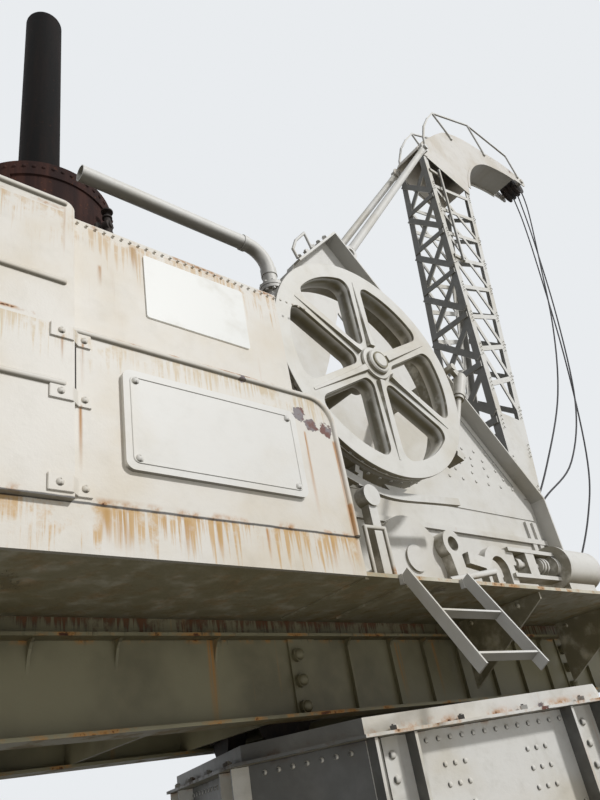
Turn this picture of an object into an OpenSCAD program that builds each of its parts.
// Steam dock crane on a rail truck: boiler, spoked hoist wheel, deck engines and a lattice swan-neck jib.
// Millimetres. +Z is up, +X runs along the jib, and the origin is on the track under the slewing centre.

/* [Undercarriage] */
// Radius of the rail wheels over their flanges
wheel_r = 380; // [340:10:420]
// Distance between the two axles
wheel_base = 1500; // [1300:50:1700]
// Distance between the wheels of an axle, centre to centre
track = 1900; // [1600:50:2100]
// Half of the platform across its flats
platform_half = 1300; // [1220:10:1400]
// Length cut from each corner of the platform
corner_cut = 520; // [400:10:600]
// Height of the platform's top above the track
platform_top = 1595; // [1560:5:1680]
// Depth of the platform's girders
platform_depth = 520; // [420:10:560]
// Thickness of the truck's plates
truck_plate = 16; // [10:1:24]
// Height of the curb round the platform's top
curb_h = 80; // [60:1:84]
// Angle between the jib and the track at rest
slew_rest = 18; // [0:1:40]

/* [Slewing gear] */
// Mean radius of the round rail on the platform
path_r = 1080; // [1000:10:1120]
// Width of the round rail
path_w = 100; // [70:5:120]
// Height of the round rail
path_h = 60; // [40:5:80]
// Radius of the slewing rollers
roller_r = 150; // [120:5:170]
// Width of the slewing rollers
roller_w = 110; // [80:5:130]
// Radius of the centre pin
pin_r = 100; // [70:5:130]

/* [Bed and deck] */
// Half of the deck's width
deck_half = 1338; // [1250:1:1450]
// Front end of the deck, from the slewing centre
deck_front = 2420; // [2400:10:2600]
// Rear end of the deck, from the slewing centre
deck_rear = 3650; // [3400:10:3900]
// Thickness of the deck plates
deck_plate = 20; // [12:1:30]
// Distance of each bed girder's web from the centre line
girder_y = 558; // [520:2:620]
// Depth of the bed girders
girder_depth = 497; // [420:1:560]
// Thickness of the bed girders' webs
girder_web = 16; // [10:1:24]
// Width of the bed girders' flanges
flange_w = 180; // [120:5:220]
// Height of the packing between the girders' top flanges and the deck
packing_h = 80; // [60:1:100]
// Height of the fascia below the house sides
fascia_h = 194; // [150:1:240]

/* [House and tank] */
// Front edge of the house sides, behind the slewing centre
house_front = 1267; // [1150:1:1350]
// Joint between the house sides and the rear tank, behind the slewing centre
house_joint = 2734; // [2600:1:2850]
// Height of the lower house plate
lower_h = 794; // [700:1:900]
// Height of the upper house plate
upper_h = 667; // [550:1:800]
// Thickness of the house sides
house_plate = 24; // [16:1:40]
// Height of the rear tank above the fascia
tank_h = 1512; // [1300:1:1700]
// How far the rear tank stands proud of the house sides
tank_proud = 30; // [10:1:50]
// Wall of the rear tank
tank_wall = 12; // [8:1:20]
// Radius of the half-round beads
bead_r = 16; // [10:1:24]

/* [Boiler] */
// Outer radius of the boiler
boiler_r = 509; // [450:1:560]
// Height of the boiler above the deck
boiler_h = 2990; // [2600:10:3200]
// Distance of the boiler's axis behind the slewing centre
boiler_x = 2413; // [2350:1:2480]
// Wall of the boiler
boiler_wall = 16; // [10:1:30]
// Outer radius of the chimney
chimney_r = 148; // [120:1:170]
// Height of the chimney above the boiler
chimney_h = 2400; // [1800:10:2800]
// Wall of the chimney
chimney_wall = 8; // [6:1:14]
// Outer radius of the exhaust pipe
pipe_r = 50; // [40:1:60]
// Wall of the exhaust pipe
pipe_wall = 6; // [4:1:10]

/* [Side frames] */
// Distance of the side frames from the centre line
frame_y = 479; // [460:1:500]
// Thickness of the side frames' plates
frame_plate = 14; // [10:1:20]
// Width of the side frames' flanges
frame_flange = 146; // [100:1:180]
// Position of the frames' apex ahead of the slewing centre
apex_x = 103; // [0:1:250]
// Height of the frames' apex above the track
apex_z = 5826; // [5600:1:6000]
// Front edge of the side frames
frame_front = 2112; // [2050:1:2150]
// Height above the track at which the front edge turns upright
knee_z = 3417; // [3300:1:3500]
// Rear foot of the side frames, behind the slewing centre
frame_rear = 1750; // [1700:1:1800]
// Top of the solid plate at the frames' foot
solid_top = 3551; // [3450:1:3650]

/* [Hoist] */
// Radius of the spoked hoist wheel
hoist_r = 800; // [760:1:830]
// Width of the hoist wheel's rim
hoist_w = 230; // [180:1:250]
// Radial depth of the hoist wheel's rim
rim_d = 112; // [80:1:140]
// Number of arms
arms = 6; // [5:1:8]
// Number of gaps in the spacer ring behind the wheel's face
gaps = 52; // [40:1:60]
// Distance of the hoist shaft behind the slewing centre
shaft_x = 689; // [650:1:730]
// Height of the hoist shaft above the track
shaft_z = 3692; // [3640:1:3740]
// Radius of the hoist shaft
shaft_r = 62; // [50:1:80]
// Radius of the hoist drum
drum_r = 250; // [200:1:300]

/* [Jib] */
// Distance of the jib's sides from the centre line at the foot pin
jib_foot_half = 362; // [330:1:380]
// Inward lean of the jib's sides in degrees
jib_taper = 1.03; // [0.5:0.01:1.5]
// Width of the chords
chord_w = 90; // [70:1:120]
// Thickness of the jib's bars
bar_t = 14; // [10:1:20]
// Width of the lattice bars
lace_w = 62; // [45:1:80]
// Spacing of the lattice nodes up the jib
lace_pitch = 511; // [480:1:540]
// Radius of the head sheaves
sheave_r = 190; // [150:5:210]
// Radius of the hoist rope
rope_r = 11; // [8:1:14]

/* [Engine] */
// Radius of the crank disc
disc_r = 290; // [240:1:300]
// Radius of the engine cylinders
cylinder_r = 150; // [120:1:160]
// Length of the engine cylinders
cylinder_l = 465; // [400:5:520]

/* [Hidden] */
$fn = 64;
right = -1;
left = 1;
eps = 0.3;
axle_r = 60;
path_top = platform_top + path_h;
bed_z = path_top + 90;
bed_top = bed_z + girder_depth;
deck_z = bed_top + deck_plate;
seam_z = bed_top + fascia_h;
lower_top = seam_z + lower_h;
tank_top = seam_z + tank_h;
boiler_top = deck_z + boiler_h;
foot_x = 2225;
foot_z = deck_z + 236;
wheel_face = -1271;
rear_cap = [-470, 5240];
brake_turn = -28;
screw_out = 922;
tie_y = 395;
tie_r = 46;
tie_pin = 42;
tie_foot = [470, 5880];
tie_head = [3110, 9330];
sheave_at = [6540, 10700];
sheave_pin = 45;
outer_curve = smooth([[3063, 9308], [3250, 9640], [3565, 9956], [3870, 10250], [4185, 10500],
    [4700, 10700], [5297, 10791], [5967, 10860], [6430, 10830], [6610, 10788]], 4);
inner_curve = smooth([[4083, 8928], [4271, 9423], [4489, 9784], [4810, 10125], [5240, 10400],
    [5853, 10560], [6330, 10600], [6610, 10612]], 4);
fall_path_1 = [for (p = smooth([[6711.3, 10700], [6706, 10450], [6560, 9900], [6080, 8600],
    [5427, 6951], [4600, 5500], [3510, 4233], [2603.5, 3350]], 4)) [p[0], -90, p[1]]];
fall_path_2 = [for (p = smooth([[6711.3, 10700], [6706, 10450], [6480, 9300], [5980, 7400],
    [5301, 5646], [4400, 4500], [3383, 3860], [2596.5, 3324]], 4)) [p[0], 0, p[1]]];
fall_path_3 = [for (p = smooth([[6711.3, 10700], [6706, 10450], [6640, 9900], [6400, 8800],
    [5850, 6700], [5149, 4807], [4450, 3800], [3400, 2850], [2390, 2272]], 4)) [p[0], 90, p[1]]];
white = [0.90, 0.89, 0.84];
shade = [0.62, 0.60, 0.50];
rust = [0.30, 0.19, 0.15];
dark = [0.16, 0.15, 0.15];

// Flat bar in an XZ plane between two points [x, z], centred on its line, from y to y + t.
module bar_xz(p, q, w, y, t) {
    d = q - p;
    translate([p[0], y, p[1]])
        rotate([0, -atan2(d[1], d[0]), 0])
            translate([0, 0, -w / 2])
                cube([norm(d), t, w]);
}

// Plate with an outline of [x, z] points, from y to y + t.
module plate_xz(y, t) {
    translate([0, y + t, 0])
        rotate([90, 0, 0])
            linear_extrude(t)
                children();
}

// Round bar between two points.
module rod(p, q, r) {
    d = q - p;
    translate(p)
        rotate([0, acos(d[2] / norm(d)), atan2(d[1], d[0])])
            cylinder(h = norm(d), r = r);
}

// Round bar bent at each of its inner points.
module bent_bar(p, r) {
    for (i = [0 : len(p) - 2]) rod(p[i], p[i + 1], r);
    for (i = [1 : len(p) - 2]) translate(p[i]) sphere(r = 1.02 * r, $fn = 24);
}

// Round bar along Y.
module shaft_y(x, y0, y1, z, r) {
    translate([x, y1, z])
        rotate([90, 0, 0])
            cylinder(h = y1 - y0, r = r);
}

// Mirrors a right-hand piece to the side asked for.
module on_side(side) {
    if (side == right) children();
    else mirror([0, 1, 0]) children();
}

module in_truck() {
    rotate(-slew_rest) children();
}

module octagon(a) {
    b = platform_half - corner_cut - 0.414 * (platform_half - a);
    polygon([[b, -a], [a, -b], [a, b], [b, a], [-b, a], [-a, b], [-a, -b], [-b, -a]]);
}

// Octagonal girder frame: deck ring with a curb, web and bottom flange, and outer stiffeners at the web.
module truck_platform() {
    web = platform_half - 110;
    ring_in = path_r - path_w - 60;
    color(white) in_truck() translate([0, 0, platform_top - platform_depth]) {
        translate([0, 0, platform_depth - truck_plate])
            linear_extrude(truck_plate)
                difference() {
                    octagon(platform_half);
                    circle(r = ring_in);
                }
        linear_extrude(platform_depth)
            difference() {
                octagon(web);
                octagon(web - truck_plate);
            }
        translate([0, 0, platform_depth - 1])
            linear_extrude(curb_h + 1)
                difference() {
                    octagon(platform_half - 70);
                    octagon(platform_half - 70 - truck_plate);
                }
        linear_extrude(truck_plate)
            difference() {
                octagon(platform_half - 20);
                octagon(web - 120);
            }
        for (turn = [0 : 90 : 270]) {
            rotate(turn) {
                for (y = [-722, -500, 500, 722])
                    translate([web - 1, y - truck_plate / 2, 0])
                        cube([96, truck_plate, platform_depth]);
                for (y = [-611, 611])
                    translate([web - 1, y - 45, truck_plate - 1])
                        cube([14, 90, platform_depth - 2 * truck_plate + 2]);
            }
        }
    }
}

// Frame girders inside the platform, over the wheels, with two that carry the centre casting.
module truck_cross_girders() {
    inner = platform_half - 110 - truck_plate;
    h = platform_depth - 3 * truck_plate;
    side_y = track / 2 - 190;
    color(shade) in_truck() translate([0, 0, platform_top - platform_depth + truck_plate]) {
        linear_extrude(h)
            intersection() {
                octagon(inner);
                union() {
                    for (y = [-side_y, side_y]) translate([-2000, y - 10]) square([4000, 20]);
                    for (x = [-390, 390]) translate([x - 10, -side_y]) square([20, 2 * side_y]);
                }
            }
        for (z = [0, h - 18])
            translate([0, 0, z]) linear_extrude(18)
                intersection() {
                    octagon(inner);
                    union() {
                        for (y = [-side_y, side_y]) translate([-2000, y - 70]) square([4000, 140]);
                        for (x = [-390, 390]) translate([x - 70, -side_y]) square([140, 2 * side_y]);
                    }
                }
    }
}

// Pivot casting on the inner girders, with the pin that the superstructure turns on.
module centre_casting() {
    base = platform_top - 2 * truck_plate;
    top = platform_top + 40;
    color(shade) in_truck() {
        translate([-460, -460, base]) cube([920, 920, 30]);
        translate([0, 0, base + 29]) cylinder(h = top - base - 29, r1 = 300, r2 = 200);
        translate([0, 0, top - 1]) cylinder(h = bed_top - 40 - top + 1, r = pin_r);
    }
}

// Round rail with its clips.
module roller_path() {
    color(shade) in_truck() translate([0, 0, platform_top]) {
        difference() {
            cylinder(h = path_h, r = path_r + path_w / 2, $fn = 96);
            translate([0, 0, -1]) cylinder(h = path_h + 2, r = path_r - path_w / 2, $fn = 96);
        }
        for (turn = [0 : 22.5 : 337.5])
            rotate(turn)
                translate([path_r + path_w / 2 - 6, -30, 0]) cube([66, 60, 26]);
    }
}

// Horn plates and axle boxes.
module axle_guards() {
    low = wheel_r - 60;
    high = platform_top - platform_depth + truck_plate;
    side_y = track / 2 - 190;
    color(white) in_truck()
        for (x = [-wheel_base / 2, wheel_base / 2])
            for (y = [-side_y, side_y])
                translate([x, y, 0])
                    difference() {
                        union() {
                            for (s = [-1, 1])
                                translate([s * 150 - 40, -12, low]) cube([80, 24, high - low]);
                            translate([-112, -60, wheel_r - 100]) cube([224, 120, 240]);
                            translate([-190, -12, low]) cube([380, 24, 30]);
                        }
                        translate([0, 0, wheel_r]) rotate([90, 0, 0])
                            cylinder(h = 200, r = axle_r + 0.05, center = true);
                    }
}

module wheelset(x) {
    color(dark) in_truck() translate([x, 0, wheel_r]) rotate([90, 0, 0]) {
        for (s = [-1, 1]) {
            translate([0, 0, s * track / 2 - 65]) cylinder(h = 130, r = wheel_r - 28, $fn = 72);
            translate([0, 0, s * (track / 2 - 48) - 16]) cylinder(h = 32, r = wheel_r, $fn = 72);
        }
        translate([0, 0, -track / 2 - 90]) cylinder(h = track + 180, r = axle_r);
    }
}

module front_wheelset() { wheelset(wheel_base / 2); }
module rear_wheelset() { wheelset(-wheel_base / 2); }

// Quarter-round gusset below a ledge at z: it reaches out by a and down by h.
module gusset(x, y, z, a, h) {
    translate([x, y, z])
        rotate([90, 0, -90])
            linear_extrude(14)
                polygon(concat([[-1, 0]], [for (t = [0 : 15 : 90]) [a * (1 - sin(t)), -h * (1 - cos(t))]],
                    [[-1, -h]]));
}

// Deep plate girder under a packing strip, with ribs and bolted splices on its outer face.
module bed_girder() {
    y = -girder_y - girder_web / 2;
    x0 = -deck_rear + 60;
    len = deck_front - 40 - x0;
    ledge = bed_top - packing_h - girder_web;
    lip = flange_w / 2 - girder_web / 2;
    color(white) {
        translate([x0, y, bed_z]) cube([len, girder_web, girder_depth]);
        for (z = [bed_z, ledge])
            translate([x0, -girder_y - flange_w / 2, z]) cube([len, flange_w, girder_web]);
        translate([x0, -girder_y - 30, ledge + girder_web - 1]) cube([len, 60, packing_h + 1]);
        for (x = [-735, -374, -63, 280, 620, 960, 1300, 1900, 2240]) {
            translate([x - 14, y - 26, bed_z]) cube([14, 27, ledge - bed_z + 1]);
            gusset(x, y, ledge + 1, lip, 140);
        }
        for (x = [-3380, -2985, -2585, -2185, -1647]) gusset(x, y, ledge + 1, lip, 140);
        for (x = [-1137, 1576]) {
            translate([x - 45, y - 13, bed_z + girder_web - 1])
                cube([190, 14, ledge - bed_z - girder_web + 2]);
            for (z = [52, 184, 316])
                shaft_y(x, y - 40, y + 1, bed_z + z, 35);
        }
    }
}

module bed_girder_right() { on_side(right) bed_girder(); }
module bed_girder_left() { on_side(left) bed_girder(); }

// Transoms between the bed girders, with the bush of the centre pin.
module bed_cross_girders() {
    inner = girder_y - girder_web / 2;
    h = girder_depth - packing_h - 2 * girder_web;
    color(shade) {
        for (x = [-deck_rear + 80, -2700, -1950, -1210, -820, -330, 310, 820, 1210, 1700, deck_front - 80])
            translate([x - 10, -inner, bed_z + girder_web]) cube([20, 2 * inner, h]);
        difference() {
            union() {
                translate([-329, -inner, bed_z + 180]) cube([650, 2 * inner, 30]);
                translate([0, 0, bed_z + 120]) cylinder(h = 260, r = pin_r + 70);
            }
            translate([0, 0, bed_z - 1]) cylinder(h = girder_depth, r = pin_r + 0.05);
        }
    }
}

// Four rollers, each in a saddle between two transoms and a bed girder.
module slewing_rollers() {
    z = path_top + eps + roller_r;
    top = z + roller_r + 30;
    inner = girder_y - girder_web / 2;
    color(dark)
        for (fx = [1, -1])
            for (fy = [1, -1])
                scale([fx, fy, 1]) {
                    rotate(15) {
                        translate([path_r - roller_w / 2, 0, z])
                            rotate([0, 90, 0]) cylinder(h = roller_w, r = roller_r);
                        translate([path_r - 110, 0, z])
                            rotate([0, 90, 0]) cylinder(h = 220, r = 32);
                        for (x = [path_r - 100, path_r + 76])
                            translate([x, -58, bed_z + girder_web + 4])
                                cube([24, 116, top - bed_z - girder_web - 3]);
                    }
                    translate([830, 190, top]) cube([370, inner - 190, 24]);
                }
}

module deck() {
    trim = house_plate + eps;
    color(shade)
        difference() {
            union() {
                translate([-deck_rear + trim, -deck_half + trim, bed_top])
                    cube([deck_rear - house_front - trim + 1, 2 * (deck_half - trim), deck_plate]);
                translate([-house_front + eps, -deck_half, bed_top])
                    cube([house_front + deck_front - eps, 2 * deck_half, deck_plate]);
            }
            translate([-boiler_x, 0, bed_top - 1]) cylinder(h = deck_plate + 2, r = boiler_r - 60);
        }
}

// Triangular brackets that carry the deck's overhang, and the flat bars under it.
module deck_brackets() {
    y = girder_y + flange_w / 2 + eps;
    tip = deck_half - 44;
    color(white)
        for (side = [right, left]) on_side(side) {
            for (x = [300, 1500])
                translate([x, 0, bed_top])
                    rotate([90, 0, -90])
                        linear_extrude(14)
                            polygon([[y, -eps], [tip, -eps], [tip, -40], [y, -430]]);
            translate([-900, -1260, bed_top - 14]) cube([90, 560, 14]);
            translate([-1262, -deck_half + 20, bed_top - 10]) cube([24, deck_half - 20 - y, 10]);
        }
}

// Fascia round the rear of the deck, from its underside to the seam below the house and the tank.
module fascia() {
    color(white) translate([0, 0, bed_top]) {
        for (side = [right, left]) on_side(side)
            translate([-deck_rear, -deck_half, 0])
                cube([deck_rear - house_front, house_plate, fascia_h]);
        translate([-deck_rear, -deck_half + house_plate + eps, 0])
            cube([house_plate, 2 * (deck_half - house_plate - eps), fascia_h]);
    }
}

// Short steps hung outward from the deck's edge.
module ladder() {
    drop = 530;
    out = 300;
    lean = atan2(out, drop);
    x0 = -1037;
    width = 500;
    run = drop / cos(lean);
    color(white) {
        translate([x0, -deck_half - 8, bed_top + 4])
            rotate([-lean, 0, 0])
                translate([0, 0, -run]) {
                    for (x = [0, width - 12])
                        translate([x, -62, 0]) cube([12, 62, run]);
                    for (z = [60, 325])
                        translate([6, -56, z]) cube([width - 12, 50, 12]);
                }
        for (x = [x0 - 6, x0 + width - 18])
            translate([x, -deck_half - 24, bed_top - 34]) cube([24, 24, deck_plate + 30]);
    }
}

// Rear water tank: a closed shell with half-round beads, hollowed in front for the boiler.
module rear_tank() {
    x0 = -deck_rear - 10;
    len = -house_joint - 2 - x0;
    half = deck_half + tank_proud;
    niche = boiler_r + 80;
    beads = [seam_z + 483, seam_z + 1007, tank_top - 24];
    corner = 50;
    color(white) {
        difference() {
            translate([x0, -half, seam_z]) cube([len, 2 * half, tank_h]);
            translate([-boiler_x, 0, seam_z - 1]) cylinder(h = tank_h + 2, r = niche);
            translate([x0 + len - corner, -half - 1, tank_top - corner])
                difference() {
                    cube([corner + 1, 2 * half + 2, corner + 1]);
                    rotate([-90, 0, 0]) cylinder(h = 2 * half + 2, r = corner);
                }
            difference() {
                translate([x0 + tank_wall, -half + tank_wall, seam_z + tank_wall])
                    cube([len - 2 * tank_wall, 2 * (half - tank_wall), tank_h - 2 * tank_wall]);
                translate([-boiler_x, 0, seam_z]) cylinder(h = tank_h, r = niche + tank_wall);
            }
        }
        for (z = beads)
            for (y = [-half, half])
                translate([x0, y, z]) {
                    rotate([0, 90, 0]) cylinder(h = len - corner, r = bead_r, $fn = 24);
                    translate([len - corner, 0, 0]) sphere(r = bead_r, $fn = 24);
                }
    }
}

// House side: a lower plate with a round front corner and an upper plate set back from it.
module house_side() {
    corner = 160;
    y = -deck_half;
    upper_front = house_front + 250;
    color(white) {
        plate_xz(y, house_plate)
            union() {
                translate([-house_joint, seam_z])
                    square([house_joint - house_front, lower_h - corner]);
                translate([-house_joint, seam_z])
                    square([house_joint - house_front - corner, lower_h]);
                translate([-house_front - corner, lower_top - corner]) circle(r = corner);
            }
        translate([-house_joint, y + 8, lower_top - 20])
            cube([house_joint - upper_front, house_plate - 8, upper_h + 20]);
        translate([-house_joint, y, lower_top - 10]) rotate([0, 90, 0])
            cylinder(h = house_joint - house_front - corner, r = bead_r, $fn = 24);
        translate([-house_front - 10, y, seam_z])
            cylinder(h = lower_h - corner, r = bead_r, $fn = 24);
        translate([-house_front - corner, y, lower_top - corner]) rotate([90, 0, 0])
            rotate_extrude(angle = 90, $fn = 64)
                translate([corner - 10, 0]) circle(r = bead_r, $fn = 24);
    }
}

module house_side_right() { on_side(right) house_side(); }
module house_side_left() { on_side(left) house_side(); }

// Rounded plate that stands off a house side; its face is bare.
module bare_plate(x, z, w, h, t, corner, y) {
    plate_xz(y - t, t)
        translate([x - w / 2, z - h / 2])
            union() {
                translate([corner, 0]) square([w - 2 * corner, h]);
                translate([0, corner]) square([w, h - 2 * corner]);
                for (cx = [corner, w - corner])
                    for (cz = [corner, h - corner])
                        translate([cx, cz]) circle(r = corner);
            }
}

module name_plate() {
    color(white) bare_plate(-2044, 2838, 953, 480, 22, 42, -deck_half);
}

module sign_plate() {
    color("white") bare_plate(-2068, 3623, 600, 390, 8, 14, -deck_half + 8);
}

// Riveted boiler shell with its flat crown and fire-door ring.
module boiler() {
    color(rust) translate([-boiler_x, 0, deck_z]) {
        difference() {
            union() {
                cylinder(h = boiler_h, r = boiler_r);
                cylinder(h = 40, r = boiler_r + 50);
                translate([0, 0, boiler_h - 120]) cylinder(h = 120, r = boiler_r + 12);
                rotate([0, 0, -135]) translate([boiler_r - 20, -50, 0]) cube([32, 100, boiler_h - 10]);
            }
            translate([0, 0, boiler_wall])
                cylinder(h = boiler_h - 2 * boiler_wall, r = boiler_r - boiler_wall);
        }
    }
}

module chimney() {
    color(rust) translate([-boiler_x, 0, boiler_top]) {
        difference() {
            union() {
                cylinder(h = chimney_h, r = chimney_r);
                cylinder(h = 24, r = chimney_r + 60);
                cylinder(h = 110, r = chimney_r + 8);
            }
            translate([0, 0, 24]) cylinder(h = chimney_h, r = chimney_r - chimney_wall);
        }
    }
}

// Exhaust pipe: open at the rear, along above the house, then down behind the hoist wheel to the deck.
module exhaust_pipe() {
    y = -960;
    z = 4708;
    x_open = -2523;
    x_drop = -1167;
    bend = 170;
    flange_z = 4330;
    collar = pipe_r + 6;
    color(white) {
        difference() {
            translate([x_open, y, z]) rotate([0, 90, 0]) cylinder(h = x_drop - bend - x_open, r = pipe_r);
            translate([x_open - 1, y, z]) rotate([0, 90, 0]) cylinder(h = 400, r = pipe_r - pipe_wall);
        }
        translate([x_drop - bend, y, z - bend]) rotate([90, 0, 0])
            rotate_extrude(angle = 90) translate([bend, 0]) circle(r = pipe_r, $fn = 32);
        translate([x_drop, y, deck_z]) cylinder(h = z - bend - deck_z, r = pipe_r);
        translate([x_drop, y, deck_z]) cylinder(h = 24, r = pipe_r + 40);
        translate([x_drop - bend - 34, y, z]) rotate([0, 90, 0]) cylinder(h = 34, r = collar);
        translate([x_drop, y, z - bend - 60]) cylinder(h = 61, r = collar);
        for (dz = [0, 30])
            translate([x_drop, y, flange_z + dz]) cylinder(h = 24, r = pipe_r + 34);
    }
}

// Riveted side frame: lapped plates from the apex to the deck, with a window, outer flanges and a bearing.
module side_frame() {
    y = -frame_y - frame_plate / 2;
    knee = frame_front - 16;
    window = [[30, 4950], [560, 4150], [-330, 4150], [-230, 4350]];
    color(white) {
        difference() {
            union() {
                plate_xz(y, frame_plate)
                    polygon([[apex_x - 20, apex_z], [apex_x, apex_z], [frame_front, knee_z],
                        [frame_front, deck_z], [-frame_rear, deck_z], [-frame_rear, deck_z + 560],
                        [-shaft_x - 330, shaft_z], rear_cap]);
                plate_xz(y - 8, 12) {
                    polygon([[-frame_rear + 400, 3229], [-shaft_x - 360, solid_top],
                        [edge_at(solid_top) - 60, solid_top], [knee - 60, knee_z - 40], [knee - 60, 3229]]);
                    polygon([[edge_at(5300) - 30, 5300], [edge_at(5300) - 110, 5300],
                        [edge_at(3450) - 110, 3450], [edge_at(3450) - 30, 3450]]);
                }
                shaft_y(-shaft_x, y - 70, y + frame_plate + 20, shaft_z, shaft_r + 70);
            }
            plate_xz(y - 10, frame_plate + 20)
                polygon(window);
            shaft_y(-shaft_x, y - 100, y + 100, shaft_z, shaft_r + 0.05);
        }
        bar_xz([apex_x, apex_z] - [8, 7], [frame_front, knee_z] - [8, 7], 16, y - frame_flange,
            frame_flange + 3);
        translate([frame_front - 16, y - frame_flange, deck_z]) cube([16, frame_flange + 3, knee_z - deck_z]);
        bar_xz([apex_x - 12, apex_z - 8], rear_cap + [8, -8], 20, y - frame_flange, frame_flange + 3);
        bar_xz(rear_cap + [9, 0], [-shaft_x - 321, shaft_z], 14, y - 70, 73);
        translate([-400, y - 30, 2990]) cube([frame_front + 396, 32, 44]);
        translate([-frame_rear, y - 90, deck_z]) cube([frame_front + frame_rear - 2, 92, 16]);
        for (x = [frame_front - 260, frame_front - 150])
            translate([x, y - 24, deck_z + 300]) cube([60, 25, 640]);
    }
}

module side_frame_right() { on_side(right) side_frame(); }
module side_frame_left() { on_side(left) side_frame(); }

// Box across the frames' apex, with the lugs that the tie bars pin to, and a hoop handle on each side.
module frame_head() {
    inner = frame_y - frame_plate / 2;
    color(white) {
        translate([apex_x - 90, -inner, apex_z - 330]) cube([20, 2 * inner, 300]);
        translate([apex_x - 90, -inner, apex_z - 330]) cube([300, 2 * inner, 20]);
        for (side = [right, left]) on_side(side)
            for (y = [-inner, -tie_y + 31])
                plate_xz(y, inner - tie_y - 31)
                    difference() {
                        union() {
                            polygon([[apex_x - 90, apex_z - 330], [apex_x + 210, apex_z - 330],
                                tie_foot + [60, -40], tie_foot + [-40, 60], [apex_x - 60, apex_z]]);
                            translate(tie_foot) circle(r = 74);
                        }
                        translate(tie_foot) circle(r = tie_pin + 0.05);
                    }
        for (side = [right, left]) on_side(side)
            bent_bar([for (p = [[-447, 5278], [-482, 5367], [-427, 5491], [-296, 5645], [-246, 5484]])
                [p[0], -frame_y - 120, p[1]]], 13);
    }
}

// Two round ties with flat eyes, from the frames' apex to the back of the jib's head.
module tie_bars() {
    head_y = half_at(tie_head[1]) + 12;
    flat = 190;
    color(white)
        for (side = [right, left]) on_side(side) {
            a = [tie_foot[0], -tie_y, tie_foot[1]];
            b = [tie_head[0], -head_y - 40, tie_head[1]];
            d = b - a;
            u = d / norm(d);
            rod(a + (flat - 40) * u, b - (flat - 40) * u, tie_r);
            translate(a)
                rotate([0, 0, atan2(d[1], d[0])])
                    rotate([0, -atan2(d[2], norm([d[0], d[1]])), 0]) {
                        translate([0, -24, -tie_r]) cube([flat, 48, 2 * tie_r]);
                        translate([norm(d) - flat, -24, -tie_r]) cube([flat, 48, 2 * tie_r]);
                    }
            shaft_y(a[0], -tie_y - 26, -tie_y + 26, a[2], 72);
            shaft_y(a[0], -tie_y - 60, -tie_y + 60, a[2], tie_pin);
            shaft_y(b[0], b[1] - 28, b[1] + 28, b[2], 72);
            shaft_y(b[0], b[1] - 60, -head_y + 10, b[2], tie_pin);
        }
}

// Front edge of the side frames at a height.
function edge_at(z) = apex_x + (apex_z - z) * (frame_front - apex_x) / (apex_z - knee_z);
// Half of the jib's width over its sides at a height above the track.
function half_at(z) = jib_foot_half - (z - foot_z) * tan(jib_taper);
// Outer edges of the rear and front chords at a height.
function back_at(z) = 2330 + (z - 4088) * 0.1553;
function front_at(z) = 2766 + (z - 4064) * 0.2707;
function back_node(i) = 8562 - lace_pitch * i;
function front_node(i) = back_node(i) + 215;

// Moves a flat piece drawn at y = 0 into the leaning plane of the jib's right side.
module in_jib_side() {
    translate([0, -jib_foot_half, foot_z])
        rotate([-jib_taper, 0, 0])
            translate([0, 0, -foot_z])
                children();
}

module bar2(p, q, w) {
    d = q - p;
    translate(p)
        rotate(atan2(d[1], d[0]))
            translate([0, -w / 2])
                square([norm(d), w]);
}

// Bar with its flat face in the plane of the rear or front chords.
module leg(x0, x1, z0, z1, inward) {
    run = norm([x1 - x0, z1 - z0]);
    lean = atan2(half_at(z0) - half_at(z1), run);
    translate([x0, -half_at(z0), z0])
        rotate([0, atan2(x1 - x0, z1 - z0), 0])
            rotate([-lean, 0, 0])
                translate([inward > 0 ? 0 : -12, 0, 0])
                    cube([12, chord_w, run]);
}

// Laced side of the jib: two chords, struts and diagonals above a solid foot plate.
module jib_side() {
    top = 9400;
    low = 9100;
    color(white) {
        difference() {
            in_jib_side() plate_xz(0, bar_t) {
                polygon([[back_at(foot_z + 200) + 1, foot_z + 200], [back_at(4603) + 1, 4603],
                    [front_at(4570) - 1, 4570], [front_at(foot_z + 200) - 1, foot_z + 200]]);
                translate([foot_x, foot_z]) circle(r = 130);
                polygon([[foot_x - 128, foot_z - 20], [back_at(foot_z + 200) + 1, foot_z + 200],
                    [front_at(foot_z + 200) - 1, foot_z + 200], [foot_x + 128, foot_z - 20]]);
                polygon([[back_at(4600) + 1, 4600], [back_at(top) + 1, top], [back_at(top) + chord_w, top],
                    [back_at(4600) + chord_w, 4600]]);
                polygon([[front_at(4560) - 1, 4560], [front_at(low) - 1, low],
                    [front_at(low) - chord_w, low], [front_at(4560) - chord_w, 4560]]);
                for (i = [0 : 7])
                    bar2([back_at(back_node(i)) + 40, back_node(i)],
                        [front_at(front_node(i)) - 40, front_node(i)], lace_w);
                for (i = [0 : 6])
                    bar2([back_at(back_node(i)) + 40, back_node(i)],
                        [front_at(front_node(i + 2)) - 40, front_node(i + 2)], lace_w);
            }
            shaft_y(foot_x, -jib_foot_half - 20, -jib_foot_half + 60, foot_z, tie_pin + 10.05);
        }
        leg(back_at(foot_z + 300), back_at(9300), foot_z + 300, 9300, 1);
        leg(front_at(foot_z + 300), front_at(8880), foot_z + 300, 8880, -1);
    }
}

module jib_side_right() { on_side(right) jib_side(); }
module jib_side_left() { on_side(left) jib_side(); }

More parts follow.
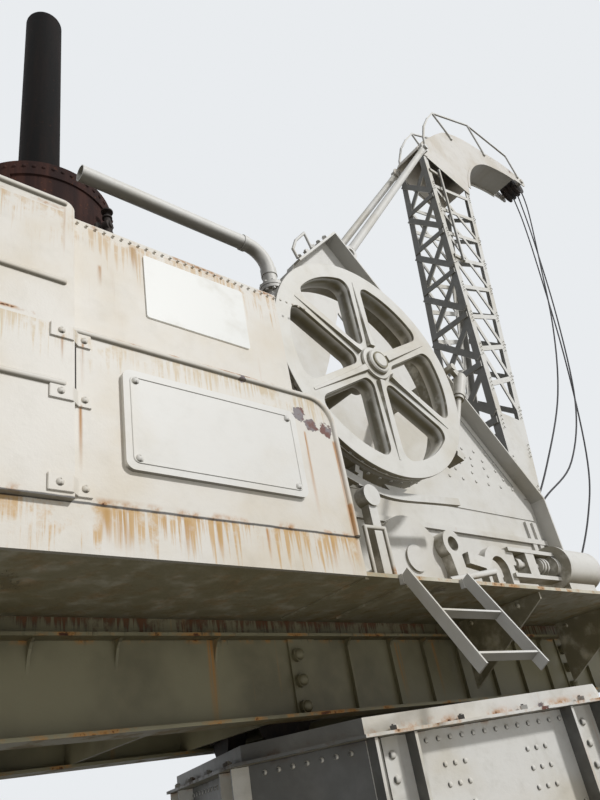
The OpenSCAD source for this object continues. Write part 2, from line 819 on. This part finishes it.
// Bar across the jib from one chord to the other, its flat face at a depth from the chords' face.
module lace(front, z0, z1, w, t, depth, short) {
    x0 = front ? front_at(z0) : back_at(z0);
    slope = atan(front ? 0.2707 : 0.1553);
    y0 = half_at(z0) - short;
    y1 = half_at(z1) - short;
    rise = (z1 - z0) / cos(slope);
    translate([x0, 0, z0])
        rotate([0, slope, 0])
            translate([depth, -y0, 0])
                rotate([atan2(rise, y0 + y1), 0, 0])
                    translate([0, 0, -w / 2])
                        cube([t, norm([rise, y0 + y1]), w]);
}

// Crossed bars between the rear chords, one set outside the other, with level bars between.
module jib_rear_lacing() {
    step = lace_pitch * 1.5;
    t = 16;
    color(white)
        for (i = [0 : 5]) {
            z0 = 4500 + i * step;
            z1 = z0 + step;
            lace(false, z0, z0, 80, t, -t - eps, 18);
            lace(false, z0 + 90, z1 - 90, 80, t, -t - eps, 18);
            mirror([0, 1, 0]) lace(false, z0 + 90, z1 - 90, 80, t, 12 + eps, 60);
        }
}

module jib_front_lacing() {
    step = lace_pitch;
    color(white) {
        for (i = [0 : 7])
            lace(true, 4720 + i * step, 4720 + (i + 1) * step, lace_w, bar_t, eps, 18);
        lace(true, 4560, 4560, 140, bar_t, eps, 18);
        lace(true, 3330, 3330, 200, bar_t, eps, 18);
    }
}

// Foot pin of the jib with its bearings on the deck.
module jib_foot() {
    r = tie_pin + 10;
    color(shade) {
        difference() {
            for (y = [-jib_foot_half - 90, -jib_foot_half + 60, jib_foot_half - 120, jib_foot_half + 30])
                plate_xz(y, 60)
                    union() {
                        translate([foot_x - 170, deck_z]) square([340, 60]);
                        translate([foot_x - 100, deck_z]) square([200, foot_z - deck_z]);
                        translate([foot_x, foot_z]) circle(r = 100);
                    }
            shaft_y(foot_x, -jib_foot_half - 200, jib_foot_half + 200, foot_z, r + 0.05);
        }
        shaft_y(foot_x, -jib_foot_half - 110, jib_foot_half + 110, foot_z, r);
    }
}

// Point t of the way along a smooth line through the points p.
function spline(p, i, t) =
    let (n = len(p) - 1, a = p[max(i - 1, 0)], b = p[i], c = p[min(i + 1, n)], d = p[min(i + 2, n)])
    0.5 * (2 * b + (c - a) * t + (2 * a - 5 * b + 4 * c - d) * t * t + (3 * b - a - 3 * c + d) * t * t * t);
function smooth(p, steps) = concat(
    [for (i = [0 : len(p) - 2]) for (k = [0 : steps - 1]) spline(p, i, k / steps)],
    [p[len(p) - 1]]);
function shift(p, d) = [for (i = [0 : len(p) - 1])
    let (a = p[max(i - 1, 0)], b = p[min(i + 1, len(p) - 1)], u = (b - a) / norm(b - a))
    p[i] + [u[1], -u[0]] * d];
function part_of(p, i, j) = [for (k = [i : j]) p[k]];
function reverse(p) = [for (i = [len(p) - 1 : -1 : 0]) p[i]];

// Wedge between the leaning planes of the jib's sides.
module jib_wedge(grow) {
    z0 = 8000;
    z1 = 12000;
    translate([2000, 0, 0])
        rotate([90, 0, 90])
            linear_extrude(6000)
                polygon([[-half_at(z0) - grow, z0], [half_at(z0) + grow, z0],
                    [half_at(z1) + grow, z1], [-half_at(z1) - grow, z1]]);
}

// Swan-neck head: two plates, with the covers round their back and under their horn.
module jib_head() {
    outline = concat(outer_curve, reverse(inner_curve));
    t = 12;
    back = part_of(outer_curve, 2, 30);
    under = part_of(inner_curve, 2, 23);
    color(white) {
        for (side = [right, left]) on_side(side)
            difference() {
                in_jib_side() plate_xz(-t, t) {
                    polygon(outline);
                    translate(sheave_at) circle(r = 110);
                    translate(tie_head) circle(r = 90);
                }
                shaft_y(tie_head[0], -400, -100, tie_head[1], tie_pin + 0.05);
            }
        for (side = [right, left]) on_side(side)
            in_jib_side() plate_xz(-t - 8, 9) {
                polygon(concat(under, reverse(shift(under, 46))));
                bar2([3200, 9238], inner_curve[0] - [30, -22], 52);
            }
        intersection() {
            jib_wedge(1);
            union() {
                plate_xz(-400, 800) polygon(concat(back, reverse(shift(back, t))));
                plate_xz(-400, 800) polygon(concat(under, reverse(shift(under, -t))));
            }
        }
        shaft_y(sheave_at[0], -half_at(sheave_at[1]) - 40, half_at(sheave_at[1]) + 40, sheave_at[1],
            sheave_pin);
    }
}

// Grab rail of square bar that stands over the head, with a bent end down to the back of each plate.
module head_rail() {
    w = 26;
    tops = [[3990, 10860], [5215, 11420], [6350, 11300]];
    feet = [[4287, 10400], [5365, 10700], [6440, 10760]];
    back = [[3240, 9430], [3310, 9750], [3480, 10150], [3720, 10520]];
    line = concat(back, tops);
    color(white)
        for (side = [right, left]) on_side(side)
            in_jib_side()
                plate_xz(-12 - eps - w, w) {
                    for (p = concat(feet, [back[0]])) translate(p) circle(r = 32);
                    for (p = line) translate(p) circle(r = w / 2 + 2);
                    for (i = [0 : 2]) bar2(feet[i], tops[i], w);
                    for (i = [0 : len(line) - 2]) bar2(line[i], line[i + 1], w);
                }
}

// Long rod down the jib's right side.
module jib_rod() {
    p = [2960, 7000];
    q = [3330, 9000];
    color(white) in_jib_side() {
        rod([p[0], -40, p[1]], [q[0], -40, q[1]], 20);
        for (t = [0.04, 0.96]) {
            z = p[1] + t * (q[1] - p[1]);
            plate_xz(-22, 22) bar2([back_at(z) + 45, z], [p[0] + t * (q[0] - p[0]) + 22, z], 50);
        }
    }
}

// Grooved sheaves on the pin at the jib's tip.
module head_sheaves() {
    color(dark)
        for (y = [-90, 0, 90])
            translate([sheave_at[0], y, sheave_at[1]])
                rotate([90, 0, 0])
                    rotate_extrude($fn = 64)
                        polygon([[sheave_pin + 0.05, -44], [sheave_r, -44], [sheave_r, -30],
                            [sheave_r - 30, -14], [sheave_r - 30, 14], [sheave_r, 30], [sheave_r, 44],
                            [sheave_pin + 0.05, 44]]);
}

// Slack rope along a list of round points: a tube of flat sides.
module rope(path) {
    n = len(path);
    sides = 8;
    ring = [for (i = [0 : n - 1])
        let (a = path[max(i - 1, 0)], b = path[min(i + 1, n - 1)], u = (b - a) / norm(b - a),
            v = cross(u, [0, 1, 0]), w = v / norm(v), o = cross(u, w))
        for (k = [0 : sides - 1])
            path[i] + rope_r * (cos(360 * k / sides) * w + sin(360 * k / sides) * o)];
    quads = [for (i = [0 : n - 2]) for (k = [0 : sides - 1])
        [i * sides + k, i * sides + (k + 1) % sides, (i + 1) * sides + (k + 1) % sides, (i + 1) * sides + k]];
    polyhedron(points = ring, faces = concat([[for (k = [sides - 1 : -1 : 0]) k]], quads,
        [[for (k = [0 : sides - 1]) (n - 1) * sides + k]]));
}

module fall_1() { color(dark) rope(fall_path_1); }
module fall_2() { color(dark) rope(fall_path_2); }
module fall_3() { color(dark) rope(fall_path_3); }

// One opening between two arms, which leave the centre at 30 degrees to each side of +X.
module wheel_opening(rim, side, round_rim, round_hub, away) {
    beta = 180 / arms - asin((side + round_rim) / (rim - round_rim));
    c_out = (rim - round_rim) * [cos(beta), sin(beta)];
    c_in = [away, 0];
    n = [-sin(180 / arms), cos(180 / arms)];
    t_out = c_out + round_rim * n;
    t_in = c_in + round_hub * n;
    o = rim * [cos(beta), sin(beta)];
    flip = [[1, 0], [0, -1]];
    union() {
        translate(c_in) circle(r = round_hub);
        translate(c_out) circle(r = round_rim);
        translate(flip * c_out) circle(r = round_rim);
        polygon([c_in, t_in, t_out, c_out, flip * c_out, flip * t_out, flip * t_in]);
        intersection() {
            circle(r = rim);
            polygon([c_in, c_out, 1.4 * o, flip * (1.4 * o), flip * c_out]);
        }
    }
}

// Spoked wheel on the drum shaft: a ribbed face with arms, a spacer ring with gaps and a deep brake rim.
module hoist_wheel() {
    face = 66;
    spacer = 22;
    half_arm = 52;
    away = (half_arm + 60) / sin(180 / arms);
    arm_out = hoist_r - rim_d;
    color(white) translate([-shaft_x, wheel_face, shaft_z]) rotate([-90, 0, 0]) rotate(180 / arms) {
        difference() {
            union() {
                linear_extrude(face)
                    difference() {
                        circle(r = hoist_r, $fn = 128);
                        for (k = [0 : arms - 1])
                            rotate(180 / arms + k * 360 / arms)
                                wheel_opening(arm_out, half_arm, 70, 60, away);
                    }
                translate([0, 0, face - 1])
                    linear_extrude(spacer)
                        difference() {
                            circle(r = hoist_r - 10, $fn = 128);
                            circle(r = hoist_r - 74, $fn = 128);
                            for (k = [0 : gaps - 1])
                                rotate(k * 360 / gaps)
                                    translate([hoist_r - 34, -12]) square([40, 24]);
                        }
                translate([0, 0, face - 1])
                    linear_extrude(hoist_w - face)
                        difference() {
                            circle(r = hoist_r - 34, $fn = 128);
                            circle(r = hoist_r - 74, $fn = 128);
                        }
                translate([0, 0, -22]) cylinder(h = 23, r = 152);
                translate([0, 0, -45]) cylinder(h = hoist_w + 45, r = 118);
                for (k = [0 : arms - 1])
                    rotate(k * 360 / arms)
                        translate([0, 12, 0]) rotate([90, 0, 0])
                            linear_extrude(24)
                                polygon([[100, 1], [100, -36], [190, -26], [arm_out + 20, -4],
                                    [arm_out + 20, 1]]);
            }
            translate([0, 0, -50]) cylinder(h = hoist_w + 100, r = shaft_r + 0.05);
        }
    }
}

// Drum between the side frames on its shaft.
module hoist_drum() {
    half = frame_y - 90;
    color(shade) {
        difference() {
            union() {
                shaft_y(-shaft_x, -half, half, shaft_z, drum_r);
                for (y = [-half, half - 40])
                    shaft_y(-shaft_x, y, y + 40, shaft_z, drum_r + 120);
            }
            shaft_y(-shaft_x, -half + 60, half - 60, shaft_z, drum_r - 30);
        }
        shaft_y(-shaft_x, wheel_face - 60, half + 250, shaft_z, shaft_r);
    }
}

// Brake band round the wheel's rim, open at the right, where a lug at each end draws it together.
module brake_band() {
    y0 = wheel_face + 66 + 26;
    inner = hoist_r - 34 + 5;
    color(white)
        plate_xz(y0, hoist_w - 66 - 30)
            translate([-shaft_x, shaft_z]) {
                difference() {
                    circle(r = inner + 12, $fn = 128);
                    circle(r = inner, $fn = 128);
                    polygon([[0, 0], 1200 * [cos(brake_turn), sin(brake_turn)], [1200, 0],
                        1200 * [cos(8), sin(8)]]);
                }
                rotate(brake_turn) translate([inner + 6, -30]) square([screw_out - inner + 40, 30]);
                rotate(brake_turn) translate([screw_out - 34, -64]) square([68, 35]);
                rotate(8) translate([inner + 6, 0]) square([90, 30]);
                rotate(250) translate([inner + 6, -30]) square([56, 30]);
            }
}

// Brackets between the band and the side frame, the screw on its arm, and the curved brake lever.
module brake_gear() {
    y0 = wheel_face + 66 + 40;
    frame = -frame_y - frame_plate / 2 - 8 - eps;
    inner = hoist_r - 34 + 5;
    screw_y = -1120;
    line = smooth([[-1110, 2925], [-942, 2866], [-799, 2832], [-627, 2822], [-329, 2842], [-60, 2860]], 4);
    pivot = [-925, 2778];
    arm = [812, 877];
    color(white) {
        plate_xz(y0, frame - y0)
            translate([-shaft_x, shaft_z]) {
                rotate(8) translate([inner + 24, 30 + eps]) square([70, 50]);
                rotate(250) translate([inner + 18, eps]) square([50, 40]);
            }
        translate([-shaft_x, screw_y, shaft_z]) rotate([0, -brake_turn, 0]) {
            rod([screw_out, 0, eps], [screw_out, 0, 640], 22);
            rod([screw_out, 0, 590], [screw_out, 0, 622], 40);
            rod([screw_out, 0, 620], [screw_out, 0, 860], 48);
            rod([screw_out, 0, 858], [screw_out, 0, 880], 38);
            bar_xz(arm, [screw_out, 846], 56, -18, 36);
            shaft_y(arm[0], -30, frame - screw_y, arm[1], 28);
        }
        plate_xz(-1165, 30) {
            polygon(concat(shift(line, 24), reverse(shift(line, -24))));
            polygon([[-1010, 2910], [-975, 2842], [-925, 2842]]);
            polygon([[-760, 2882], [-560, 2874], [-620, 2840], [-720, 2845]]);
        }
        shaft_y(pivot[0], -1195, -1115, pivot[1], 64);
        translate([pivot[0] - 32, -1180, deck_z]) cube([64, 60, pivot[1] - deck_z]);
        translate([pivot[0] - 60, -1200, deck_z]) cube([120, 100, 20]);
    }
}

// Horizontal engine on the deck: crank disc, link boss, yoke, crosshead between its guides and cylinder.
module engine() {
    y = -980;
    face = -900;
    zc = deck_z + disc_r + 2;
    x0 = -317;
    xc = 1125;
    link = [4, 2652];
    yoke = [420, zc - 62];
    guides = [zc - 97, zc + 88];
    color(white) {
        translate([x0 - disc_r - 20, y - 70, deck_z]) cube([xc + cylinder_l - x0 + disc_r, 160, 22]);
        shaft_y(x0, face, face + 56, zc, disc_r);
        shaft_y(x0, face + 55, face + 100, zc, disc_r - 34);
        shaft_y(x0, face - 16, face + 1, zc, 88);
        shaft_y(x0, face + 90, -frame_y - frame_plate / 2 - eps, zc, 60);
        translate([x0 - 110, face + 150, deck_z]) cube([220, 110, zc - deck_z]);
        plate_xz(y, 100)
            difference() {
                union() {
                    translate(link) circle(r = 96);
                    polygon([link + [-60, -60], link + [60, -60], [90, deck_z], [-10, deck_z]]);
                }
                translate(link) circle(r = 50);
            }
        plate_xz(y - 30, 60)
            difference() {
                union() {
                    translate(yoke) circle(r = 170);
                    translate([yoke[0] - 170, deck_z]) square([340, yoke[1] - deck_z]);
                    bar2([yoke[0] - 330, zc], [yoke[0] - 120, zc - 30], 80);
                    translate([yoke[0] + 60, zc - 20]) square([140, 108]);
                }
                translate(yoke) circle(r = 96);
                translate([yoke[0] - 96, deck_z + 60]) square([192, yoke[1] - deck_z - 60]);
            }
        for (z = guides)
            translate([yoke[0] + 120, y - 55, z - 14]) cube([xc - yoke[0] - 119, 110, 28]);
        translate([745, y - 50, guides[0]]) cube([110, 100, guides[1] - guides[0]]);
        rod([yoke[0] + 150, y, zc], [750, y, zc], 26);
        rod([640, y, zc], [690, y, zc], 42);
        rod([850, y, zc], [xc + 1, y, zc], 22);
        rod([930, y, zc], [1015, y, zc], 54);
        for (x = [945, 985]) rod([x, y, zc], [x + 16, y, zc], 64);
        rod([xc - 40, y, zc], [xc + 1, y, zc], 84);
        rod([xc, y, zc], [xc + 26, y, zc], cylinder_r + 14);
        rod([xc + 25, y, zc], [xc + cylinder_l, y, zc], cylinder_r);
        translate([xc + cylinder_l - 1, y, zc]) rotate([0, 90, 0])
            cylinder(h = 22, r1 = cylinder_r, r2 = cylinder_r - 30);
        translate([xc + 50, y - 75, deck_z]) cube([cylinder_l - 100, 150, zc - deck_z - 90]);
        rod([-512, -1250, deck_z + 25], [-45, -1250, deck_z + 103], 20);
        translate([-62, -1268, deck_z]) cube([34, 36, 110]);
        translate([-530, -1264, deck_z]) cube([40, 28, 30]);
        bent_bar([[-1110, -1250, deck_z], [-1110, -1250, 2545], [-960, -1250, 2549],
            [-960, -1250, deck_z]], 12);
    }
}

module engine_right() { on_side(right) engine(); }
module engine_left() { on_side(left) engine(); }

truck_platform();
truck_cross_girders();
centre_casting();
roller_path();
axle_guards();
front_wheelset();
rear_wheelset();
bed_girder_right();
bed_girder_left();
bed_cross_girders();
slewing_rollers();
deck();
deck_brackets();
fascia();
ladder();
rear_tank();
house_side_right();
house_side_left();
name_plate();
sign_plate();
boiler();
chimney();
exhaust_pipe();
side_frame_right();
side_frame_left();
frame_head();
tie_bars();
jib_side_right();
jib_side_left();
jib_rear_lacing();
jib_front_lacing();
jib_foot();
jib_head();
head_rail();
jib_rod();
head_sheaves();
fall_1();
fall_2();
fall_3();
hoist_wheel();
hoist_drum();
brake_band();
brake_gear();
engine_right();
engine_left();
